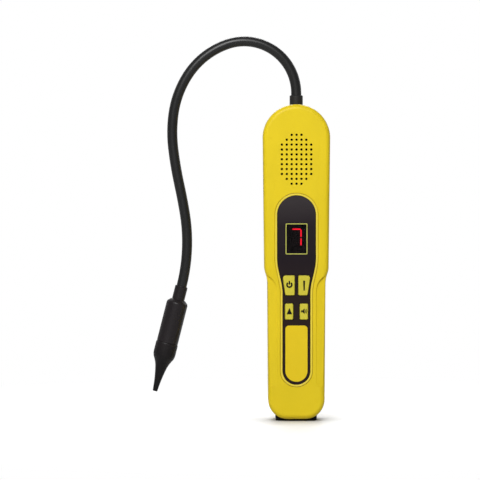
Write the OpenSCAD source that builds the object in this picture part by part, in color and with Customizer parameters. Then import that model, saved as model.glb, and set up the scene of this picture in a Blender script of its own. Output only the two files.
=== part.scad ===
// Hand-held refrigerant leak detector: two-shell body, key panel, bent arm, sensing tip.
// Flat pieces are drawn face-on (x right, y up the body, z toward the front) and stood up.

/* [Body outline] */
// Height of the body above the table
body_height = 230.3; // [180:0.1:280]
// Radius of the round head
head_radius = 24.4; // [18:0.1:32]
// Lean of the head sides toward the neck, degrees
head_lean = 0.63; // [0:0.01:3]
// Height where the neck curve starts
neck_top = 112; // [90:0.5:140]
// Radius of the outward neck curve
neck_out_radius = 14; // [13:0.5:30]
// Radius of the inward neck curve
neck_in_radius = 25.5; // [14:0.5:60]
// Half width of the grip just below the neck
grip_half = 21.05; // [16:0.05:28]
// Lean of the grip sides, degrees
grip_lean = 0.38; // [0:0.01:2]
// Radius of the lower corners
corner_radius = 14; // [13:0.5:19]
// Height of the shell above the table
shell_lift = 1.5; // [0.5:0.1:4]

/* [Body section] */
// Depth of the body from front to back
body_depth = 36; // [28:0.5:50]
// Distance of the parting plane in front of the middle
part_offset = 2; // [0:0.5:6]
// Rounding of the front edge
front_round = 3.6; // [2:0.1:6]
// Rounding of the back edge
back_round = 6; // [3:0.1:9]
// Wall of both shells
wall = 2.2; // [1.5:0.1:3]
// Wall of the front face
face_wall = 2.4; // [1.8:0.1:4]
// Depth of the swept edge band
band = 12; // [10:0.5:13]
// Height of the tongue that joins the shells
tongue = 1.4; // [0.5:0.1:3]
// Clearance around fixed pieces
gap = 0.1; // [0.02:0.01:0.3]
// Overrun of cutting shapes
over = 0.8; // [0.2:0.1:2]
// Half length of the low ring where two bends of a tube meet
ring_half = 0.4; // [0.2:0.05:1]
// Rise of the low ring
ring_rise = 0.03; // [0.01:0.01:0.1]
// How far neighbouring steps of a sweep run into each other
lap = 0.3; // [0.1:0.05:0.5]
// How much thinner every other step of a sweep is
hair = 0.03; // [0.02:0.005:0.05]

/* [Grip relief] */
// Half width of the raised middle of the grip
spine_half = 14.3; // [10:0.1:18]
// Depth of the side relief at its upper end
relief_depth = 0.9; // [0.2:0.1:1.5]
// Outward lean of the relief, degrees
relief_lean = 8; // [2:0.5:14]
// Height where the relief fades out
relief_bottom = 26; // [15:0.5:50]
// Height where the upper end of the relief starts to curve outward
relief_top = 95; // [80:0.5:120]
// Radius of the upper end of the relief
relief_round = 12; // [6:0.5:16]

/* [Speaker grille] */
// Distance of the middle of the grille above the panel
grille_rise = 26.1; // [23:0.1:32]
// Distance between grille holes
grille_pitch = 3.54; // [2.5:0.01:5]
// Diameter of a grille hole
grille_hole = 1.75; // [1:0.05:3]
// Diameter of the speaker
speaker_dia = 39; // [25:0.5:40]
// Depth of the speaker basket
speaker_depth = 4.2; // [2:0.1:8]
// Diameter of the speaker magnet
magnet_dia = 18; // [10:0.5:24]
// Depth of the speaker magnet
magnet_depth = 5; // [2:0.1:8]
// Thickness of the felt behind the grille
felt_thick = 0.4; // [0.2:0.05:1]
// Wall of the ring that holds the speaker
speaker_ring = 1.2; // [0.8:0.1:2]

/* [Key panel] */
// Height of the top of the black panel
panel_top = 163.9; // [130:0.1:200]
// Half width of the panel at the display
panel_wide = 14; // [8:0.1:18]
// Half width of the panel at the grip
panel_narrow = 10.03; // [6:0.1:16]
// Height where the panel starts to widen
panel_swell_low = 93; // [70:0.5:120]
// Height where the panel has widened
panel_swell_high = 118; // [90:0.5:140]
// Height of the lower end of the panel
panel_bottom = 26.7; // [15:0.1:60]
// Thickness of the panel
panel_thick = 1; // [0.6:0.05:2]
// Depth of the panel face below the body face
panel_sink = 0.2; // [0:0.05:1]
// Width of the rim around the panel
rim_width = 1.45; // [0.8:0.05:3]
// Groove between the rim and the front shell
rim_groove = 0.35; // [0.1:0.05:1]
// Height of the rim above the body face
rim_rise = 0.25; // [0:0.05:1]
// Depth of the pocket that takes the panel
pocket_depth = 1.2; // [0.8:0.05:2]

/* [Display] */
// Distance of the middle of the window below the panel top
window_drop = 31.5; // [24:0.1:40]
// Outer size of the window frame across and up
window_outer = [16.2, 22.8]; // [5:0.1:40]
// Width of the window frame
window_line = 1; // [0.4:0.05:3]
// Corner radius of the window frame
window_corner = 1.5; // [0.5:0.1:4]
// Thickness of the window frame
frame_thick = 1.1; // [0.5:0.05:2]
// Width of the flange that holds the lens
lens_flange = 0.5; // [0.3:0.05:2]
// Size of the digit module across and up
digit_block = [12.7, 19]; // [8:0.1:30]
// Width and height of the digit
digit_size = [7.9, 13.3]; // [4:0.1:20]
// Thickness of one segment
segment_wide = 1.3; // [0.6:0.05:3]
// Rise of the middle of the digit above the middle of the window
digit_rise = 0.8; // [-3:0.1:3]

/* [Keys] */
// Lower outer corner of an upper key
upper_low = [7.9, 91.6]; // [2:0.1:120]
// Upper outer corner of an upper key
upper_high = [10.1, 105.9]; // [2:0.1:120]
// Half gap between the two upper keys
upper_inner = 1.4; // [0.8:0.1:4]
// Lower outer corner of a lower key
lower_low = [8.2, 74]; // [2:0.1:120]
// Height of the top of a lower key
lower_high = 85.5; // [60:0.1:110]
// Half gap between the two lower keys
lower_inner = 2.5; // [0.8:0.1:6]
// Rounding of the key corners
key_round = 0.9; // [0.3:0.05:2]
// Rounding of the outer upper corner of an upper key
key_outer_round = 2; // [0.5:0.1:4]
// Rise of the keys above the panel
key_rise = 0.85; // [0.3:0.05:3]
// Clearance around a key
key_gap = 0.35; // [0.1:0.05:0.6]
// Width of the hidden flange of a key
key_flange = 0.8; // [0.4:0.05:2]
// Travel of a key
key_travel = 0.8; // [0.3:0.05:2]
// Diameter of a key stem
key_stem = 3; // [1.5:0.1:6]
// Side of a key switch
switch_side = 6; // [3:0.1:8]
// Height of a key switch
switch_high = 1.8; // [1:0.1:5]

/* [Inlay plate] */
// Width of the plate
plate_width = 16.07; // [8:0.1:20]
// Height of the plate ends above the table
plate_ends = [28.8, 69.6]; // [10:0.1:90]
// Rounding of the upper corners of the plate
plate_corner = 2.5; // [0.5:0.1:6]
// Thickness of the plate
plate_thick = 0.55; // [0.3:0.05:1]

/* [Board] */
// Thickness of the circuit board
board_thick = 1.6; // [0.8:0.1:2]
// Distance of the board behind the body face
board_back = 8; // [6:0.1:12]
// Half width of the board in the grip and in the head
board_half = [11.5, 13.5]; // [6:0.1:20]
// Heights of the lower end, the step and the upper end of the board
board_levels = [66, 112, 166]; // [40:0.5:200]
// Places of the board screws: across and up
board_holes = [[10.8, 162], [-10.8, 162], [0, 69]]; // [-20:0.1:200]
// Diameter of a board screw
board_screw = 2; // [1:0.1:4]

/* [Housing screws] */
// Places of the upper and lower screw pairs: across and up
screw_places = [[15, 214], [17.2, 122.5]]; // [5:0.1:230]
// Thread diameter of a housing screw
screw_dia = 3; // [2:0.1:4]
// Head diameter of a housing screw
screw_head = 5.2; // [4:0.1:7]
// Head height of a housing screw
screw_head_high = 1.8; // [1:0.1:3]
// Length of a housing screw
screw_length = 18; // [10:0.5:30]
// Depth of a screw head below the back
screw_sink = 1.4; // [0.5:0.1:6]
// Diameter of a screw boss
boss_dia = 6.6; // [5:0.1:9]

/* [Batteries] */
// Diameter of a cell
cell_dia = 14.3; // [10:0.1:16]
// Length of a cell
cell_length = 50.3; // [40:0.1:60]
// Diameter of the cell nub
nub_dia = 5.3; // [3:0.1:7]
// Length of the cell nub
nub_length = 1.2; // [0.5:0.1:2]
// Height of the lower end of the cells
cell_bottom = 16; // [10:0.5:30]
// Gap between the two rows of cells
cell_row_gap = 0.4; // [0.1:0.05:2]
// Distance of the cells in front of the back wall
cell_back = 1.2; // [0.3:0.1:3]
// Wall of the battery bay
bay_wall = 1.2; // [0.8:0.1:2]
// Heights of the lower and upper end of the battery cover
cover_ends = [13, 120]; // [8:0.5:140]
// Half width of the battery cover
cover_half = 15.4; // [10:0.1:18]
// Corner radius of the battery cover
cover_corner = 3; // [1:0.1:6]
// Depth of the skirt on the cover
cover_skirt = 1; // [0.5:0.1:2]
// Clearance around the cover
cover_gap = 0.25; // [0.1:0.05:0.5]
// Pitch of the grip ribs on the cover
rib_pitch = 2.6; // [1:0.1:5]
// Thickness of a contact plate
contact_thick = 0.5; // [0.3:0.05:1]
// Wire diameter of a contact spring
spring_wire = 0.8; // [0.4:0.05:1.5]

/* [Foot] */
// Half width of the rubber foot
foot_half = 15; // [8:0.1:20]
// Half depth of the rubber foot
foot_half_depth = 12; // [6:0.1:16]
// Height of the rubber foot
foot_high = 4.4; // [2:0.1:8]
// Corner radius of the rubber foot
foot_corner = 4; // [1:0.1:8]

/* [Gland] */
// Diameter of the collar on top of the body
gland_dia = 9.6; // [8:0.1:16]
// Height of the top of the collar
gland_top = 236.4; // [232:0.1:250]
// Height of the lower end of the collar
gland_bottom = 219; // [205:0.1:228]
// Heights of the hidden nut
nut_ends = [221.4, 224.4]; // [200:0.1:228]
// Width of the nut across its flats
nut_flats = 12.5; // [11:0.1:20]

/* [Arm] */
// Diameter of the arm
arm_dia = 7.4; // [5:0.1:12]
// Bore of the arm jacket
arm_bore = 4.8; // [2:0.1:8]
// Bore of the arm core
core_bore = 3.6; // [1:0.1:5]
// Radii of the arm bends in order from the body
bend_radii = [37.8, 56.2, 69, 99.2, 267, 387, 131]; // [20:0.1:500]
// Turn of each bend, degrees, left turns positive
bend_turns = [109.4, 37.7, 25.1, 14.4, 5.8, -3.1, -23.6]; // [-120:0.1:120]
// Straight run above the collar
arm_rise = 1.4; // [0.8:0.1:20]

/* [Tip] */
// Diameter of the small tip collar
tip_collar_dia = 9.2; // [8:0.1:14]
// Length of the small tip collar
tip_collar_length = 10.6; // [5:0.1:20]
// Diameter of the sensor barrel
barrel_dia = 15.6; // [10:0.1:24]
// Distance along the tip where the barrel ends and the nose starts
barrel_end = 42.3; // [25:0.1:60]
// Diameter of the nose
nose_dia = 16.2; // [10:0.1:24]
// Half widths of the nose along its length
nose_half = [7.75, 8.1, 8.1, 7.95, 7.4, 6.2, 5.15, 4.45, 3.95, 3.5, 3.1, 2.75, 2.45, 2.2,
    1.98, 1.82, 1.72]; // [1:0.01:12]
// Distances along the tip of these half widths
nose_along = [42.45, 43.2, 50, 51.9, 53.8, 56, 58.2, 60.3, 62.5, 64.7, 66.9, 69.1, 71.2,
    73.4, 75.6, 77.8, 78.9]; // [40:0.01:90]
// Wall of the barrel and the nose
tip_wall = 1.3; // [0.8:0.05:2]
// Bore of the nose mouth
nose_bore = 1.7; // [0.8:0.1:3]
// Length of the spigot inside the nose
spigot = 6; // [3:0.1:10]
// Diameter of the sensor can
can_dia = 8.2; // [4:0.1:10]
// Length of the sensor can
can_length = 4.4; // [3:0.1:8]

/* [Pump] */
// Diameter of the pump motor
motor_dia = 13; // [8:0.5:16]
// Length of the pump motor
motor_length = 17; // [10:0.5:30]
// Height of the pump above the table
pump_height = 158; // [130:0.5:200]
// Sides of the pump head across, up and deep
pump_head_size = [11, 15, 13]; // [6:0.5:20]
// Diameter of the air tube
tube_dia = 3.6; // [2:0.1:6]
// Bore of the air tube
tube_bore = 2; // [1:0.1:4]

/* [Parts] */
// Which part to draw

/* [Hidden] */
$fn = 72;
front = body_depth/2;
back = -body_depth/2;
part = part_offset;
grille_height = panel_top + grille_rise;
head_mid = body_height - head_radius;
yellow = [0.9, 0.8, 0.15];
black = [0.16, 0.15, 0.15];
grey = [0.6, 0.6, 0.62];
steel = [0.75, 0.75, 0.78];

// one step along a path: [radius, turn] bends, [0, length] runs straight; pose is [x, y, heading]
function advance(p, s) = s[0] == 0
    ? [p[0] + s[1]*cos(p[2]), p[1] + s[1]*sin(p[2]), p[2]]
    : let (d = s[1] > 0 ? 1 : -1, q = p[2] + s[1])
      [p[0] + d*s[0]*(sin(q) - sin(p[2])), p[1] + d*s[0]*(cos(p[2]) - cos(q)), q];
function poses(start, steps) = [for (i = 0, p = start; i <= len(steps);
    p = i < len(steps) ? advance(p, steps[i]) : p, i = i + 1) p];

// right half of the body outline from the crown down to the middle of the underside
apex = [0, body_height, 0];
head_turn = [head_radius, -90 - head_lean];
after_head = advance(apex, head_turn);
side_run = [0, (after_head[1] - neck_top)/cos(head_lean)];
after_side = advance(after_head, side_run);
neck_cos = (neck_out_radius*cos(head_lean) + neck_in_radius*cos(grip_lean) - after_side[0]
    + grip_half)/(neck_out_radius + neck_in_radius);
neck_turn = acos(neck_cos);
neck_a = [neck_out_radius, head_lean - neck_turn];
neck_b = [neck_in_radius, neck_turn - grip_lean];
after_neck = advance(advance(after_side, neck_a), neck_b);
grip_run = [0, (after_neck[1] - corner_radius*(1 - sin(grip_lean)) - shell_lift)/cos(grip_lean)];
corner_turn = [corner_radius, -90 + grip_lean];
after_corner = advance(advance(after_neck, grip_run), corner_turn);
sole_run = [0, after_corner[0]];
outline = [head_turn, side_run, neck_a, neck_b, grip_run, corner_turn, sole_run];
corners = poses(apex, outline);
function inward(p, d) = [p[0] + d*sin(p[2]), p[1] - d*cos(p[2])];

arm_start = [0, gland_top + arm_rise, 90];
arm_steps = [for (i = [0:len(bend_radii) - 1]) [bend_radii[i], bend_turns[i]]];
arm_poses = poses(arm_start, arm_steps);
tip_pose = arm_poses[len(arm_steps)];

function mirrored(pts) = [for (i = [len(pts) - 1:-1:0]) [-pts[i][0], pts[i][1]]];
function unit(v) = v/norm(v);
function edge_out(pts, i) = let (n = len(pts), e = unit(pts[(i + 1) % n] - pts[i])) [e[1], -e[0]];
function grown(pts, d) = [for (i = [0:len(pts) - 1])
    let (a = edge_out(pts, (i + len(pts) - 1) % len(pts)), b = edge_out(pts, i))
    pts[i] + d*(a + b)/(1 + a*b)];
arc_steps = 6;
function rounded(pts, radii) = [for (i = [0:len(pts) - 1])
    let (n = len(pts), a = edge_out(pts, (i + n - 1) % n), b = edge_out(pts, i),
        r = radii[i], c = pts[i] - r*(a + b)/(1 + a*b),
        from = atan2(a[1], a[0]), turn = acos(a*b))
    for (k = [0:arc_steps]) c + r*[cos(from + turn*k/arc_steps), sin(from + turn*k/arc_steps)]];

function smooth(t) = t*t*(3 - 2*t);
swell_steps = 14;
swell_high = panel_swell_high - panel_swell_low;
swell = [for (k = [0:swell_steps]) [
    panel_narrow + (panel_wide - panel_narrow)*smooth(k/swell_steps),
    panel_swell_low + swell_high*k/swell_steps]];

module upright() rotate([90, 0, 0]) children();

// pose at a distance along a bend or a run; a distance below zero is before it
function along(p, s, d) = s[0] == 0 ? advance(p, [0, d])
    : let (k = sign(s[1]), q = p[2] + k*d/s[0]*180/PI)
      [p[0] + k*s[0]*(sin(q) - sin(p[2])), p[1] + k*s[0]*(cos(p[2]) - cos(q)), q];
// stretches a step by d at each end, so that its neighbours hold its ends
function stretched(p, s, d) = [along(p, s, -d),
    s[0] == 0 ? [0, s[1] + d*2] : [s[0], s[1] + sign(s[1])*2*d/s[0]*180/PI]];
// carries a section along one step; section x runs to the right of the path, y is the depth
module carry(p, s) {
    a = p[2];
    end = advance(p, s);
    if (s[0] == 0)
        translate([end[0], end[1], 0]) rotate([90, 0, a - 90]) linear_extrude(s[1]) children();
    else if (s[1] < 0)
        translate([p[0] + s[0]*sin(a), p[1] - s[0]*cos(a), 0])
            rotate([0, 0, a + s[1] + 90]) rotate_extrude(angle = -s[1])
                translate([s[0], 0]) mirror([1, 0]) children();
    else
        translate([p[0] - s[0]*sin(a), p[1] + s[0]*cos(a), 0])
            rotate([0, 0, a - 90]) rotate_extrude(angle = s[1])
                translate([s[0], 0]) children();
}
// a round rod along a path; a low ring at each change of bend ties the pieces together
module rod(start, steps, d) {
    p = poses(start, steps);
    last = len(steps) - 1;
    for (i = [0:last]) {
        s = steps[i];
        t0 = i == 0 ? 0 : ring_half/2;
        t1 = i == last ? 0 : ring_half/2;
        q = along(p[i], s, t0);
        if (s[0] == 0) carry(q, [0, s[1] - t0 - t1]) circle(d = d);
        else carry(q, [s[0], s[1] - sign(s[1])*(t0 + t1)/s[0]*180/PI]) circle(d = d);
        if (i < last) translate([p[i + 1][0], p[i + 1][1], 0]) rotate([90, 0, p[i + 1][2] - 90])
            translate([0, 0, -ring_half]) cylinder(d = d + ring_rise*2, h = ring_half*2);
    }
}
module both() {
    children();
    mirror([1, 0, 0]) children();
}
// section from inset to band, from level a to level b, rounded at its outer corner near b
module band_block(inset, a, b, r) {
    d = b > a ? 1 : -1;
    low = min(a, b - d*r);
    high = max(a, b - d*r);
    translate([inset, low]) square([band - inset, high - low]);
    translate([inset + r, min(a, b)]) square([band - inset - r, abs(b - a)]);
    translate([inset + r, b - d*r]) circle(r);
}
// wall section of the front shell, all round thinner by e
module front_band(e) {
    difference() {
        band_block(e, part + e, front - e, front_round - e);
        union() {
            band_block(wall - e, part - over, front - face_wall + e, front_round - wall + e);
            translate([band - over, part - over])
                square([over*2, front - face_wall - part + over + e]);
        }
    }
    translate([wall/2 + gap + e, part - tongue + e]) square([wall/2 - gap - e*2, tongue + over]);
}
// wall section of the rear shell, all round thinner by e
module rear_band(e) {
    difference() {
        band_block(e, part - e, back + e, back_round - e);
        union() {
            band_block(wall - e, part + over, back + wall - e, back_round - wall + e);
            translate([band - over, back + wall - e]) square([over*2, part + over - back - wall + e]);
        }
        translate([wall/2 - e, part - tongue - gap - e]) square([wall, tongue + gap + over + e]);
    }
}
// a wall section carried round the whole outline; the straight sides and the joining bends are a
// hair thinner and run into the others
module swept_front() {
    edge_steps() front_band(0);
    edge_laps() front_band(hair);
}
module swept_rear() {
    edge_steps() rear_band(0);
    edge_laps() rear_band(hair);
}
module edge_steps() {
    carry([-after_head[0], after_head[1], 90 - head_lean], [head_radius, -180 - head_lean*2]) children();
    both() for (i = [2, 4]) carry(corners[i], outline[i]) children();
    carry(corners[6], [0, sole_run[1]*2]) children();
}
module edge_laps() both() for (i = [1, 3, 5]) {
    q = stretched(corners[i], outline[i], lap);
    carry(q[0], q[1]) children();
}
// flat middle of a shell, drawn inside the swept band
module middle(inset) {
    translate([0, head_mid]) circle(head_radius - inset);
    right = [for (i = [1:len(corners) - 2]) inward(corners[i], inset)];
    polygon(concat(right, mirrored(right)));
}
module block(x, y, z) translate([x[0], y[0], z[0]]) cube([x[1] - x[0], y[1] - y[0], z[1] - z[0]]);
module post(p, d, z) translate([p[0], p[1], z[0]]) cylinder(d = d, h = z[1] - z[0]);
module slab(z) translate([0, 0, z[0]]) linear_extrude(z[1] - z[0]) children();
module box2(size, mid, r) {
    w = size[0]/2 - r;
    h = size[1]/2 - r;
    translate(mid) {
        square([size[0], h*2], center = true);
        square([w*2, size[1]], center = true);
        for (x = [-w, w], y = [-h, h]) translate([x, y]) circle(r);
    }
}
// outline of the key panel, grown by d
module panel_shape(d) {
    top_mid = panel_top - panel_wide;
    low_mid = panel_bottom + panel_narrow;
    translate([0, top_mid]) circle(panel_wide + d);
    translate([0, low_mid]) circle(panel_narrow + d);
    side = [for (q = swell) [q[0] + d, q[1]]];
    right = concat([[panel_narrow + d, low_mid]], side, [[panel_wide + d, top_mid]]);
    polygon(concat(right, mirrored(right)));
}
panel_face = front - panel_sink;
panel_base = panel_face - panel_thick;
pocket_floor = front - pocket_depth;
pocket_grow = rim_width + rim_groove;
window_inner = [window_outer[0] - window_line*2, window_outer[1] - window_line*2];
flange_size = [window_outer[0] + lens_flange*2, window_outer[1] + lens_flange*2];
window_mid = [0, panel_top - window_drop];
face_inner = front - face_wall;
board_front = front - board_back;

upper_key = [[upper_inner, upper_low[1]], upper_low, upper_high, [upper_inner, upper_high[1]]];
lower_key = [[lower_inner, lower_low[1]], lower_low, [lower_low[0], lower_high],
    [lower_inner, lower_high]];
upper_radii = [key_round, key_round, key_outer_round, key_round];
lower_radii = [key_round, key_round, key_round, key_round];
key_well = [[-lower_low[0], lower_low[1]], lower_low, upper_low, upper_high,
    [-upper_high[0], upper_high[1]], [-upper_low[0], upper_low[1]]];
upper_mid = [(upper_inner + upper_low[0] + upper_inner + upper_high[0])/4,
    (upper_low[1] + upper_high[1])/2];
lower_mid = [(lower_inner + lower_low[0])/2, (lower_low[1] + lower_high)/2];
module key_hole(pts, radii, d)
    polygon(rounded(grown(pts, d), [for (r = radii) r + d]));

module grille_holes() {
    for (r = [-5:5]) {
        n = abs(r) == 5 ? 1 : abs(r) == 4 ? 2 : 3;
        for (c = [-n:n]) post([c*grille_pitch, grille_height + r*grille_pitch], grille_hole,
            [face_inner - over, front + over]);
    }
}
module side_relief() {
    high = relief_top - relief_bottom;
    wide = after_side[0] - spine_half + over;
    fade = asin(relief_depth/high);
    translate([spine_half, relief_bottom, front]) rotate([-fade, relief_lean, 0])
        linear_extrude(front_round) {
            translate([0, -over]) square([wide, high + over]);
            translate([relief_round, high]) circle(relief_round);
        }
}
// ribs from wall to wall that hold the gland nut
module nut_ribs(z) slab(z) intersection() {
    translate([0, head_mid]) circle(head_radius - wall/2);
    square_at([head_radius*2, nut_ends[1] - nut_ends[0] + wall*2], [0, (nut_ends[0] + nut_ends[1])/2]);
}
module gland_bore() {
    translate([0, gland_bottom - over, 0]) rotate([-90, 0, 0])
        cylinder(d = gland_dia + gap, h = gland_top - gland_bottom);
    nut_room = nut_flats/2 + gap;
    nut_reach = nut_flats/sqrt(3) + gap;
    block([-nut_reach, nut_reach], [nut_ends[0] - gap, nut_ends[1] + gap], [-nut_room, nut_room]);
}
foot_floor = shell_lift + foot_high + wall/2;
floor_low = shell_lift + wall - over;
floor_half = after_corner[0] + corner_radius*sin(acos(1 - (floor_low - shell_lift)/corner_radius));
floor_top_half = after_corner[0] + corner_radius*sin(acos(1 - (foot_floor - shell_lift)/corner_radius));
module foot_seat(z) {
    slab(z) polygon([[-floor_half + over, floor_low], [floor_half - over, floor_low],
        [floor_top_half - over, foot_floor], [-floor_top_half + over, foot_floor]]);
}
module foot_solid(d) {
    translate([0, 0, 0]) rotate([-90, 0, 0])
        linear_extrude(foot_high + d) box2([foot_half*2 + d*2, foot_half_depth*2 + d*2], [0, 0],
            foot_corner);
}
screws = [for (p = screw_places, s = [-1, 1]) [p[0]*s, p[1]]];
head_seat = back + screw_sink + screw_head_high;

module front_shell() color(yellow) upright() {
    difference() {
        union() {
            swept_front();
            slab([face_inner, front]) middle(front_round + wall*2);
            for (p = screws) post(p, boss_dia, [part + gap, face_inner + over]);
            for (p = board_holes) post(p, board_screw*2.4, [board_front, face_inner + over]);
            difference() {
                post([0, grille_height], speaker_dia + gap*4 + speaker_ring*2,
                    [face_inner - speaker_depth - felt_thick, face_inner + over]);
                post([0, grille_height], speaker_dia + gap*4,
                    [face_inner - speaker_depth - felt_thick - over, face_inner]);
            }
            foot_seat([part, face_inner + over]);
            nut_ribs([part, nut_flats/2 + wall]);
        }
        grille_holes();
        slab([pocket_floor, front + over]) panel_shape(pocket_grow);
        slab([face_inner - over, front]) box2([flange_size[0] + gap*2, flange_size[1] + gap*2],
            window_mid, window_corner);
        slab([face_inner - over, front]) polygon(grown(key_well, key_flange + key_gap));
        both() side_relief();
        gland_bore();
        foot_solid(gap/2);
        for (p = screws) post(p, screw_dia*5/6, [part - over, head_seat + screw_length + over]);
        for (p = board_holes) post(p, board_screw*5/6, [board_front - over, face_inner - over]);
    }
}
cell_z = back + wall + cell_back + cell_dia/2;
cell_x = (cell_dia + cell_row_gap)/2;
cells_top = cell_bottom + cell_length*2;
bay_x = cell_x + cell_dia/2 + cell_row_gap;
spring_round = spring_wire*1.1;
spring_top = cells_top + spring_wire*3.5 + spring_round/2;
bay_y = [cell_bottom - nub_length - contact_thick*2, spring_top + gap/5 + contact_thick];
bay_front = cell_z + cell_dia/2 + cell_row_gap;
module cover_shape(d) {
    box2([cover_half*2 + d*2, cover_ends[1] - cover_ends[0] + d*2],
        [0, (cover_ends[0] + cover_ends[1])/2], cover_corner);
}
pump_z = back + wall + motor_dia/2 + over;
groove_floor = part - tongue - gap*2;
module rear_hull() {
    swept_rear();
    slab([back, back + wall]) middle(back_round + wall*2);
}
module rear_shell() color(yellow) upright() {
    difference() {
        union() {
            difference() {
                rear_hull();
                slab([back - over, back + back_round]) cover_shape(cover_gap);
            }
            for (p = screws) post(p, boss_dia, [back + wall/2, part]);
            difference() {
                block([-bay_x - bay_wall, bay_x + bay_wall], [bay_y[0] - bay_wall, bay_y[1] + bay_wall],
                    [back + wall, bay_front + bay_wall]);
                block([-bay_x, bay_x], bay_y, [back + wall - over, bay_front]);
                slab([back + wall - over, back + wall + cover_skirt + cover_gap]) cover_shape(cover_gap);
            }
            foot_seat([back + back_round/2, groove_floor]);
            difference() {
                for (x = [motor_length/4, motor_length*3/4]) block([x, x + bay_wall],
                    [pump_height - motor_dia/2 - wall, pump_height + motor_dia/2 + wall],
                    [back + wall/2, pump_z]);
                translate([0, pump_height, pump_z]) rotate([0, 90, 0])
                    cylinder(d = motor_dia + gap, h = motor_length);
            }
            nut_ribs([-nut_flats/2 - wall, groove_floor]);
        }
        gland_bore();
        foot_solid(gap/2);
        for (p = screws) {
            post(p, screw_dia + gap*2, [back - over, part + over]);
            post(p, screw_head + gap*4, [back - over, head_seat]);
        }
    }
}
module foot_pad() color(black) upright() foot_solid(0);
module panel_rim() color(yellow) upright() slab([pocket_floor, front + rim_rise]) difference() {
    panel_shape(rim_width);
    panel_shape(gap);
}
plate_mid = plate_ends[0] + plate_width/2;
module plate_shape(d) {
    w = plate_width/2;
    translate([0, plate_mid]) circle(w + d);
    pts = [[-w - d, plate_mid], [w + d, plate_mid], [w + d, plate_ends[1] + d],
        [-w - d, plate_ends[1] + d]];
    polygon(rounded(pts, [gap/2, gap/2, plate_corner, plate_corner]));
}
module key_panel() color(black) upright() difference() {
    slab([panel_base, panel_face]) panel_shape(0);
    slab([panel_base - over, front]) box2([window_outer[0] + gap, window_outer[1] + gap],
        window_mid, window_corner);
    both() slab([panel_base - over, front]) {
        key_hole(upper_key, upper_radii, key_gap);
        key_hole(lower_key, lower_radii, key_gap);
    }
    slab([panel_face - plate_thick, front]) plate_shape(gap/2);
}
module window_frame() color([0.55, 0.57, 0.36]) upright()
    slab([panel_base, panel_base + frame_thick]) difference() {
        box2(window_outer, window_mid, window_corner);
        box2(window_inner, window_mid, window_corner/2);
    }
lens_back = panel_base - wall/2;
module display_lens() color([0.06, 0.06, 0.05]) upright() {
    slab([lens_back, panel_base - gap/2]) box2(flange_size, window_mid, window_corner);
    slab([panel_base - gap/2, panel_face - gap/2])
        box2([window_inner[0] - gap, window_inner[1] - gap], window_mid, window_corner/2);
}
digit_front = lens_back - gap*4;
module digit_module() color(black) upright() difference() {
    slab([board_front, digit_front]) square_at(digit_block, window_mid);
    for (s = segment_boxes) slab([digit_front - segment_wide/2, digit_front + over])
        square_at([s[2] + gap/2, s[3] + gap/2], [s[0], s[1]]);
}
module square_at(size, mid) translate(mid) square(size, center = true);
digit_height = window_mid[1] + digit_rise;
dx = digit_size[0]/2 - segment_wide/2;
dy = digit_size[1]/2 - segment_wide/2;
bar = digit_size[0] - segment_wide*2 - gap*4;
upright_bar = dy - segment_wide/2 - gap*4;
segment_boxes = [[0, digit_height + dy, digit_size[0], segment_wide],
    [dx, digit_height + dy/2 - gap, segment_wide, upright_bar - segment_wide/4],
    [dx, digit_height - dy/2, segment_wide, upright_bar],
    [0, digit_height - dy, bar, segment_wide],
    [-dx, digit_height - dy/2, segment_wide, upright_bar],
    [-dx, digit_height + dy/2 - gap, segment_wide, upright_bar - segment_wide/4],
    [0, digit_height, bar, segment_wide]];
module segments(list) upright() for (i = list)
    slab([digit_front - segment_wide/2 + gap/2, digit_front]) square_at(
        [segment_boxes[i][2], segment_boxes[i][3]], [segment_boxes[i][0], segment_boxes[i][1]]);
module digit_lit() color([0.9, 0.1, 0.15]) segments([0, 1, 2]);
module digit_unlit() color([0.2, 0.08, 0.08]) segments([3, 4, 5, 6]);

key_top = panel_face + key_rise;
flange_top = panel_base - key_gap/2;
flange_low = flange_top - key_flange;
stem_end = board_front + switch_high + key_travel + gap*4;
module key(pts, radii, mid) upright() {
    slab([flange_top, key_top]) key_hole(pts, radii, 0);
    slab([flange_low, flange_top]) key_hole(pts, radii, key_flange/2);
    post(mid, key_stem, [stem_end, flange_low]);
}
module key_level() color(yellow) key(upper_key, upper_radii, upper_mid);
module key_power() color(yellow) mirror([1, 0, 0]) key(upper_key, upper_radii, upper_mid);
module key_reset() color(yellow) key(lower_key, lower_radii, lower_mid);
module key_alarm() color(yellow) mirror([1, 0, 0]) key(lower_key, lower_radii, lower_mid);
module key_switches() color(grey) upright() for (m = [upper_mid, lower_mid], s = [-1, 1]) {
    lower = switch_high*0.6;
    slab([board_front, board_front + lower]) square_at([switch_side*0.8, switch_side],
        [m[0]*s, m[1]]);
    post([m[0]*s, m[1]], switch_side/2, [board_front + lower, board_front + switch_high]);
}
module inlay_plate() color(yellow) upright()
    slab([panel_face - plate_thick + gap/2, panel_face]) plate_shape(0);
module circuit_board() color([0.1, 0.35, 0.2]) upright() difference() {
    slab([board_front - board_thick, board_front]) polygon([[-board_half[0], board_levels[0]],
        [board_half[0], board_levels[0]], [board_half[0], board_levels[1]],
        [board_half[1], board_levels[1] + wall], [board_half[1], board_levels[2]],
        [-board_half[1], board_levels[2]], [-board_half[1], board_levels[1] + wall],
        [-board_half[0], board_levels[1]]]);
    for (p = board_holes) post(p, board_screw + gap*2, [board_front - board_thick - over,
        board_front + over]);
}
module board_screws() color(steel) upright() for (p = board_holes) {
    low = board_front - board_thick;
    post(p, board_screw*5/6 - gap/5, [low - gap, low + board_thick*3]);
    post(p, board_screw*2, [low - board_screw*2/3, low]);
}
felt_front = face_inner;
module grille_felt() color(black) upright()
    post([0, grille_height], speaker_dia - gap*2, [felt_front - felt_thick, felt_front]);
basket_front = felt_front - felt_thick;
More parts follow.
